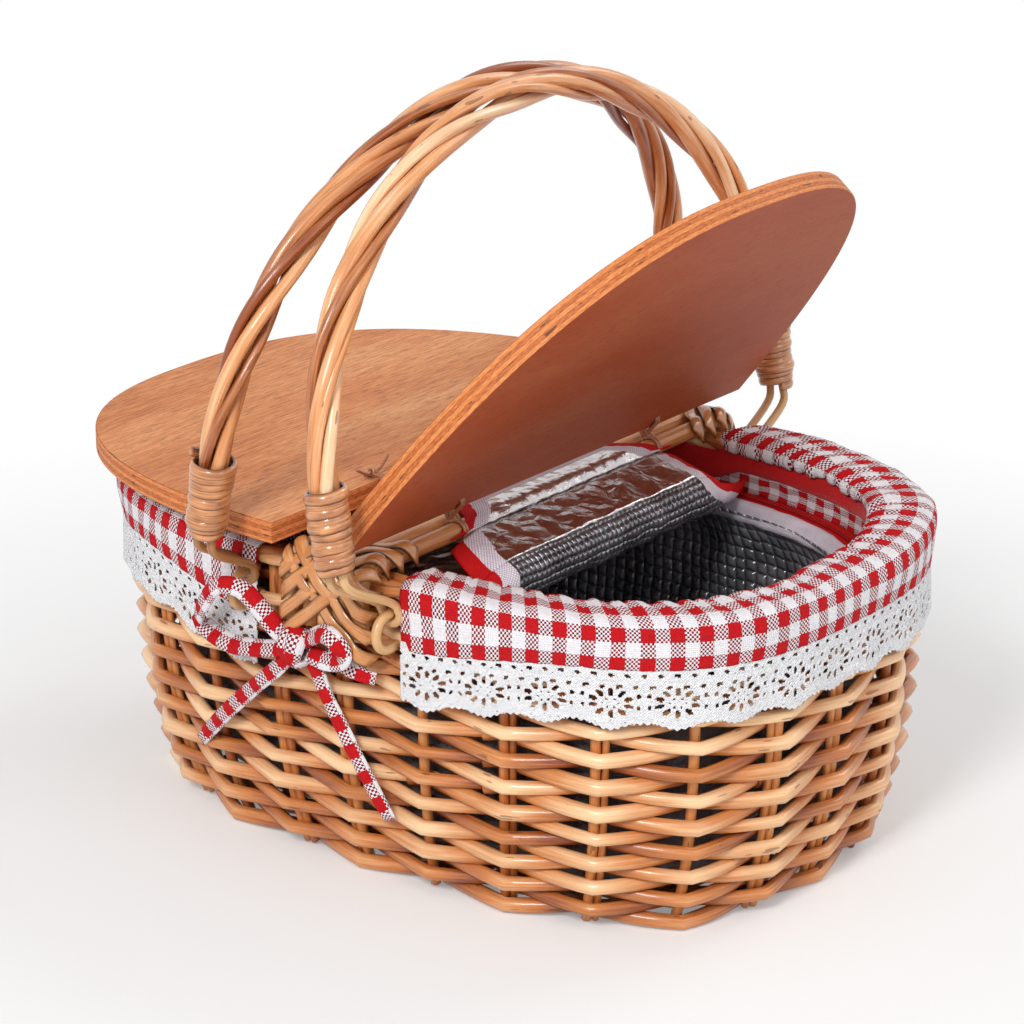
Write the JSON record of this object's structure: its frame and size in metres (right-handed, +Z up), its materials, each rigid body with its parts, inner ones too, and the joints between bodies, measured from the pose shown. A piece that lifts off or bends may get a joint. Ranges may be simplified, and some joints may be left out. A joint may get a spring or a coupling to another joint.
{
  "type": "insulated picnic basket",
  "caption": "Oval woven willow picnic basket with insulated foil-lined bag, gingham and lace cuff, hinged plywood lids and folding rod handles.",
  "frame": {"origin": "on the floor, at the middle of the flat underside of the woven base", "axes": "+X along the basket, toward the lid that stands open; +Y across the basket along the hinge bar; +Z up"},
  "size_m": [0.3863, 0.3342, 0.3341],
  "materials": {
    "willow": "varnished whole willow rods",
    "willow_pale": "varnished pale willow rods",
    "cane": "glossy split cane",
    "rattan": "varnished rattan",
    "plywood": "stained and varnished plywood",
    "twine": "dry raffia twine",
    "gingham": "red and white checked cotton",
    "lace": "white cotton lace",
    "red_cloth": "bright red cloth",
    "twill": "grey twill tape",
    "foam_cloth": "grey cloth over foam",
    "foil": "silver metallised film",
    "slider": "satin steel"
  },
  "bodies": {
    "basket": {"woven_side": "willow", "woven_base": "willow", "border_rod_outer": "willow", "border_rod_inner": "willow", "hinge_bar_rod_1": "willow_pale", "hinge_bar_rod_2": "willow_pale", "hinge_bar_rod_3": "willow_pale", "hinge_bar_rod_4": "willow_pale", "hinge_bar_rod_5": "willow_pale", "bar_lashing_near": "cane", "bar_lashing_far": "cane", "twine_rod_right_near": "twine", "twine_rod_right_far": "twine", "twine_rod_left_near": "twine", "twine_rod_left_far": "twine", "cuff_right": "gingham", "cuff_left": "gingham", "lace_right": "lace", "lace_left": "lace", "gingham_band": "gingham", "plush_band": "red_cloth", "bag_shell": "foam_cloth", "bag_lining": "foil", "zip_tape": "red_cloth", "twill_binding": "twill", "cover_base": "foil", "zip_slider": "slider", "eye_left_near": "rattan", "eye_left_far": "rattan", "eye_right_near": "rattan", "eye_right_far": "rattan", "bow_near": "gingham", "bow_far": "gingham"},
    "lid_right": {"lid_right": "plywood", "twine_lid_right_near": "twine", "twine_lid_right_far": "twine"},
    "lid_left": {"lid_left": "plywood", "twine_lid_left_near": "twine", "twine_lid_left_far": "twine"},
    "handle_left": {"handle_left": "willow_pale", "binding_left_near": "cane", "binding_left_far": "cane", "link_left_near": "rattan", "link_left_far": "rattan"},
    "handle_right": {"handle_right": "willow_pale", "binding_right_near": "cane", "binding_right_far": "cane", "link_right_near": "rattan", "link_right_far": "rattan"},
    "cover_inner": {"cover_inner_panel": "foil"},
    "cover_outer": {"cover_outer_panel": "foil"}
  },
  "joints": [
    {"name": "lid_right_hinge", "type": "hinge", "parent": "basket", "child": "lid_right", "pos_m": [0.016, 0, 0.1545], "axis": [0, -1, 0], "range_deg": [-51.25, 30]},
    {"name": "lid_left_hinge", "type": "hinge", "parent": "basket", "child": "lid_left", "pos_m": [-0.016, 0, 0.1545], "axis": [0, 1, 0], "range_deg": [0, 76]},
    {"name": "handle_left_swing", "type": "hinge", "parent": "basket", "child": "handle_left", "pos_m": [-0.048, 0, 0.1325], "axis": [0, -1, 0], "range_deg": [0, 95.3]},
    {"name": "handle_right_swing", "type": "hinge", "parent": "basket", "child": "handle_right", "pos_m": [0.033, 0, 0.1325], "axis": [0, -1, 0], "range_deg": [-25, 0]},
    {"name": "cover_fold", "type": "hinge", "parent": "basket", "child": "cover_inner", "pos_m": [0.049, 0, 0.1337], "axis": [0, 1, 0], "range_deg": [0, 168]},
    {"name": "cover_second_fold", "type": "hinge", "parent": "cover_inner", "child": "cover_outer", "pos_m": [0.02625, 0, 0.14523], "axis": [0, 1, 0], "range_deg": [0, 172.61]}
  ],
  "couplings": [
    {"joint": "cover_second_fold", "follows": "cover_fold", "ratio": 1.0274}
  ]
}
